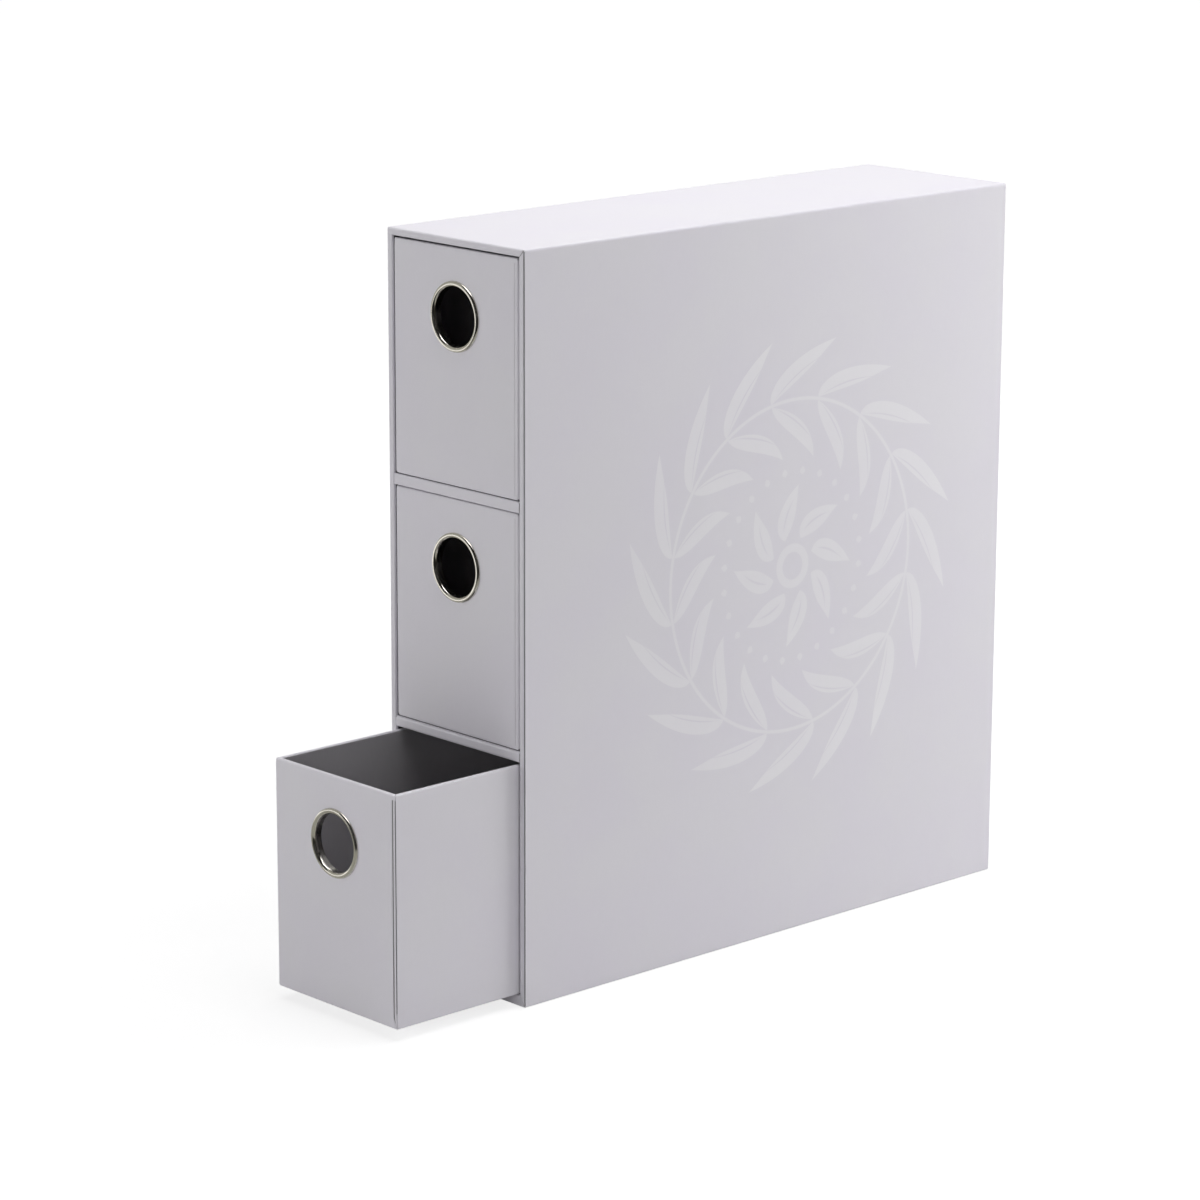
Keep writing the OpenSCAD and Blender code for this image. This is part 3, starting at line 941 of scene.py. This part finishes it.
        cut_across(bm, 0, (flap_x, bead_x, corner_x), on_front)
        cut_across(bm, 1, (corner_y,), on_side)
        heights = (slit_low, slit_bend, slit_top, corner_top)
        cut_across(bm, 2, heights, lambda face: on_front(face) or on_side(face))

        def in_slit(middle, normal):
            if normal.y < -0.9 and flap_x < middle.x < bead_x:
                return slit_low < middle.z < slit_top
            beside = middle.x > corner_x if normal.y < -0.9 else normal.x > 0.9 and middle.y < corner_y
            return beside and slit_low < middle.z < corner_top

        drop_faces(bm, in_slit)
        for vert in bm.verts:
            if not near(vert.co.z, slit_low):
                continue
            if near(vert.co.y, front_y) and (near(vert.co.x, flap_x) or near(vert.co.x, bead_x)):
                vert.co.x = tip_x
            elif near(vert.co.y, front_y) and near(vert.co.x, corner_x):
                vert.co.x = foot_x
            elif near(vert.co.x, high.x) and near(vert.co.y, corner_y):
                vert.co.y = foot_y
        bmesh.ops.remove_doubles(bm, verts=bm.verts, dist=1e-6)

    def cut_mitres(self, bm, low, high, size):
        """Opens the thin mitre across each corner of the rim"""
        half, corner_reach = 0.14 * MM, 3 * MM
        for x in (low.x, high.x):
            for y in (low.y, high.y):
                way = Vector((math.copysign(1.0, x), -math.copysign(1.0, y - (low.y + high.y) / 2), 0.0))
                way.normalize()
                place = Vector((x, y, high.z))

                def on_rim(face):
                    middle = face.calc_center_median()
                    close = abs(middle.x - x) < 0.03 or face.calc_area() > 0.0001
                    return middle.z > high.z - size.drawer_fold - TINY and face.normal.z > 0.1 and close

                def close_by(middle):
                    return abs(middle.x - x) < corner_reach and abs(middle.y - y) < corner_reach

                cut(bm, place + way * half, way, on_rim)
                cut(bm, place - way * half, way, on_rim)
                drop_faces(bm, lambda middle, normal: (
                    close_by(middle) and normal.z > 0.1 and middle.z > high.z - size.drawer_fold
                    and abs((middle - place).dot(way)) < half
                ))

    def execute(self, context):
        for level in LEVELS:
            self.build(level, sizes())
        return {"FINISHED"}


class DRAWERBOX_OT_rings(bpy.types.Operator):
    """Spin the pull rings: a domed flange, a barrel through the front and a curl behind it"""

    bl_idname = "drawer_box.rings"
    bl_label = "Pull rings"

    def build(self, level, size):
        """Spins a ring's profile and rounds its corners"""
        low, high = corners(level + "_drawer_ring")
        middle = (low + high) / 2
        outer = (high.x - low.x) / 2
        inner = outer - size.ring_width
        seat = low.y + 1.1 * MM
        curl = inner + 1.4 * MM
        curl_end = high.y - 0.6 * MM
        bm = bmesh.new()
        spin_path(bm, [(middle.x + radius, y, middle.z) for radius, y in (
            (outer, seat), (outer, low.y), (inner, low.y), (inner, high.y), (curl, high.y), (curl, curl_end),
        )], middle, (0.0, 1.0, 0.0), 2 * math.pi, steps=112, close=True)
        bmesh.ops.remove_doubles(bm, verts=bm.verts, dist=SAME_POINT)
        bmesh.ops.recalc_face_normals(bm, faces=bm.faces)
        bm.normal_update()

        def hoop(radius, y):
            return [e for e in bm.edges if all(
                near(v.co.y, y) and abs(math.hypot(v.co.x - middle.x, v.co.z - middle.z) - radius) < TINY
                for v in e.verts)]

        folds_in_mm = ((outer, low.y, 1.08), (inner, low.y, 1.3), (inner, high.y, 0.5), (curl, high.y, 0.5))
        for radius, y, fold in folds_in_mm:
            round_edges(bm, hoop(radius, y), fold * MM, 8)
        bm.normal_update()
        crown = [f for f in bm.faces if f.normal.y < -0.95 and f.calc_center_median().y < seat]
        if not crown:
            bmesh.ops.reverse_faces(bm, faces=bm.faces)
        finish = metal_finish(level + " ring metal", roughness=0.1, seat_y=seat)
        finish_piece(bm, level + "_ring", level + "_drawer", finish,
                     level + "_drawer_ring", size.ring_sheet)

    def execute(self, context):
        for level in LEVELS:
            self.build(level, sizes())
        return {"FINISHED"}


class DRAWERBOX_OT_studio(bpy.types.Operator):
    """Set up the pale floor, the glowing screens that paint reflections in the metal, the lamps, the room
    light and the camera
    """

    bl_idname = "drawer_box.studio"
    bl_label = "Studio"

    def add_stage(self, bm, name):
        """Makes a part of the stage of a bmesh and returns it with its bare material's nodes and place"""
        part = new_object(bm, name)
        material, tree, shader, place = start_material(name)
        tree.nodes.remove(shader)
        part.data.materials.append(material)
        return part, tree, place

    def add_floor(self):
        """Floor that takes the shadow, and that the camera sees almost white"""
        near_edge, far_edge, near_glow, far_glow = 0.3, 0.9, 0.78, 1.0
        bm = bmesh.new()
        bmesh.ops.create_grid(bm, x_segments=1, y_segments=1, size=6.0)
        tree, place = self.add_stage(bm, "floor")[1:]
        tint = blend_colours(tree, noise(tree, place, 3.0), with_alpha(colours().floor),
                             with_alpha(Vector(colours().floor) * 0.98))
        plain = add_node(tree, "BsdfDiffuse", {"Color": tint})
        dim = add_node(tree, "BsdfDiffuse", {"Color": (0.34, 0.34, 0.34, 1.0)})
        away = add_node(tree, "VectorMath", {0: place}, operation="LENGTH").outputs["Value"]
        strength = step_range(tree, away, near_edge, far_edge, near_glow, far_glow)
        glow = add_node(tree, "Emission", {"Color": (1.0, 1.0, 1.0, 1.0), "Strength": strength})
        seen = add_node(tree, "AddShader", {0: dim.outputs[0], 1: glow.outputs[0]})
        path = add_node(tree, "LightPath")
        both = add_node(tree, "MixShader", {
            0: path.outputs["Is Camera Ray"], 1: plain.outputs[0], 2: seen.outputs[0]})
        link(tree, tree.nodes["Material Output"].inputs["Surface"], both.outputs[0])

    def add_painted_reflection(self, name, tone, from_turn, sweep, profile):
        """Round glowing screen at a profile of radius and height, hidden from all but glossy rays: a painted
        reflection, dark, grey or bright, in the rings and the paper's sheen
        """
        bm = bmesh.new()
        start = Matrix.Rotation(math.radians(from_turn), 3, "Z")
        places = [start @ Vector((radius, 0.0, height)) for radius, height in profile]
        spin_path(bm, places, (0.0, 0.0, 0.0), (0.0, 0.0, 1.0), math.radians(sweep), steps=36)
        screen, tree, place = self.add_stage(bm, name)
        glow = add_node(tree, "Emission", {"Strength": 1.0, "Color": blend_colours(
            tree, noise(tree, place, 4.0), with_alpha(tone), with_alpha(Vector(tone) * 0.85))})
        link(tree, tree.nodes["Material Output"].inputs["Surface"], glow.outputs[0])
        # Painted reflection: only glossy rays see the screen
        for rays in ("camera", "diffuse", "transmission", "shadow"):
            setattr(screen, "visible_" + rays, False)

    def add_lamp(self, name, place, target, width, height, watts):
        light = bpy.data.lights.new(name, "AREA")
        light.shape = "RECTANGLE"
        light.size = width
        light.size_y = height
        light.energy = watts
        lamp = add_object(name, light)
        lamp.location = place
        lamp.rotation_mode = "QUATERNION"
        lamp.rotation_quaternion = (Vector(target) - Vector(place)).to_track_quat("-Z", "Y")
        lamp.visible_camera = False

    def add_camera(self):
        """Camera at the photograph's place"""
        yaw, pitch, roll = (math.radians(value) for value in CAMERA_TURN)
        ahead = Vector((-math.sin(yaw) * math.cos(pitch), math.cos(yaw) * math.cos(pitch), -math.sin(pitch)))
        right = Vector((math.cos(yaw), math.sin(yaw), 0.0))
        up = right.cross(ahead)
        tilted_right = right * math.cos(roll) + up * math.sin(roll)
        tilted_up = up * math.cos(roll) - right * math.sin(roll)
        turned = Matrix((tilted_right, tilted_up, -ahead)).transposed().to_4x4()
        data = bpy.data.cameras.new("camera")
        data.sensor_width = 36.0
        data.lens = CAMERA_LENS
        data.clip_start = 0.05
        data.clip_end = 50.0
        camera = add_object("camera", data)
        camera.matrix_world = Matrix.Translation(CAMERA_PLACE) @ turned
        bpy.context.scene.camera = camera

    def set_world(self, fill):
        """Plain light from all round, which the camera and reflections see as white"""
        world = bpy.data.worlds.new("room")
        world.use_nodes = True
        bpy.context.scene.world = world
        tree = world.node_tree
        plain = tree.nodes["Background"]
        plain.inputs["Color"].default_value = (1.0, 1.0, 1.0, 1.0)
        plain.inputs["Strength"].default_value = fill
        white = add_node(tree, "Background", {"Color": (1.0, 1.0, 1.0, 1.0), "Strength": 1.0})
        path = add_node(tree, "LightPath")
        seen = maths(tree, "MAXIMUM", path.outputs["Is Camera Ray"], path.outputs["Is Glossy Ray"])
        seen = maths(tree, "MAXIMUM", seen, path.outputs["Is Transmission Ray"])
        both = add_node(tree, "MixShader", {0: seen, 1: plain.outputs[0], 2: white.outputs[0]})
        link(tree, tree.nodes["World Output"].inputs["Surface"], both.outputs[0])

    def execute(self, context):
        studio = context.scene.drawer_box_studio
        self.add_floor()
        for screen in PAINTED_REFLECTIONS:
            self.add_painted_reflection(*screen)
        for name, place, target, width, height in LAMPS:
            self.add_lamp(name + " lamp", place, target, width, height, getattr(studio, name))
        self.set_world(studio.fill)
        self.add_camera()
        context.scene.view_settings.view_transform = "Standard"
        return {"FINISHED"}


class VIEW3D_PT_drawer_box(bpy.types.Panel):
    """Sidebar page with the box's pieces, sizes, colours and lamps"""

    bl_label = "Drawer box"
    bl_space_type = "VIEW_3D"
    bl_region_type = "UI"
    bl_category = "Drawer box"

    def draw(self, context):
        for operator in OPERATORS:
            self.layout.operator(operator.bl_idname)
        for name in GROUPS:
            group = getattr(context.scene, name)
            box = self.layout.box()
            for entry in group.__annotations__:
                box.prop(group, entry)


OPERATORS = (
    DRAWERBOX_OT_finishes,
    DRAWERBOX_OT_case_paper,
    DRAWERBOX_OT_shelves,
    DRAWERBOX_OT_drawer_papers,
    DRAWERBOX_OT_rings,
    DRAWERBOX_OT_studio,
)
GROUPS = {
    "drawer_box_sizes": DrawerBoxSizes,
    "drawer_box_colours": DrawerBoxColours,
    "drawer_box_studio": DrawerBoxStudio,
}
CLASSES = (*GROUPS.values(), *OPERATORS, VIEW3D_PT_drawer_box)


def register():
    for part in CLASSES:
        bpy.utils.register_class(part)
    for name, group in GROUPS.items():
        setattr(bpy.types.Scene, name, bpy.props.PointerProperty(type=group))


def unregister():
    for name in GROUPS:
        delattr(bpy.types.Scene, name)
    for part in reversed(CLASSES):
        bpy.utils.unregister_class(part)


def main():
    register()
    bpy.ops.drawer_box.finishes()
    bpy.ops.drawer_box.case_paper()
    bpy.ops.drawer_box.shelves()
    bpy.ops.drawer_box.drawer_papers()
    bpy.ops.drawer_box.rings()
    bpy.ops.drawer_box.studio()


if __name__ == "__main__":
    main()
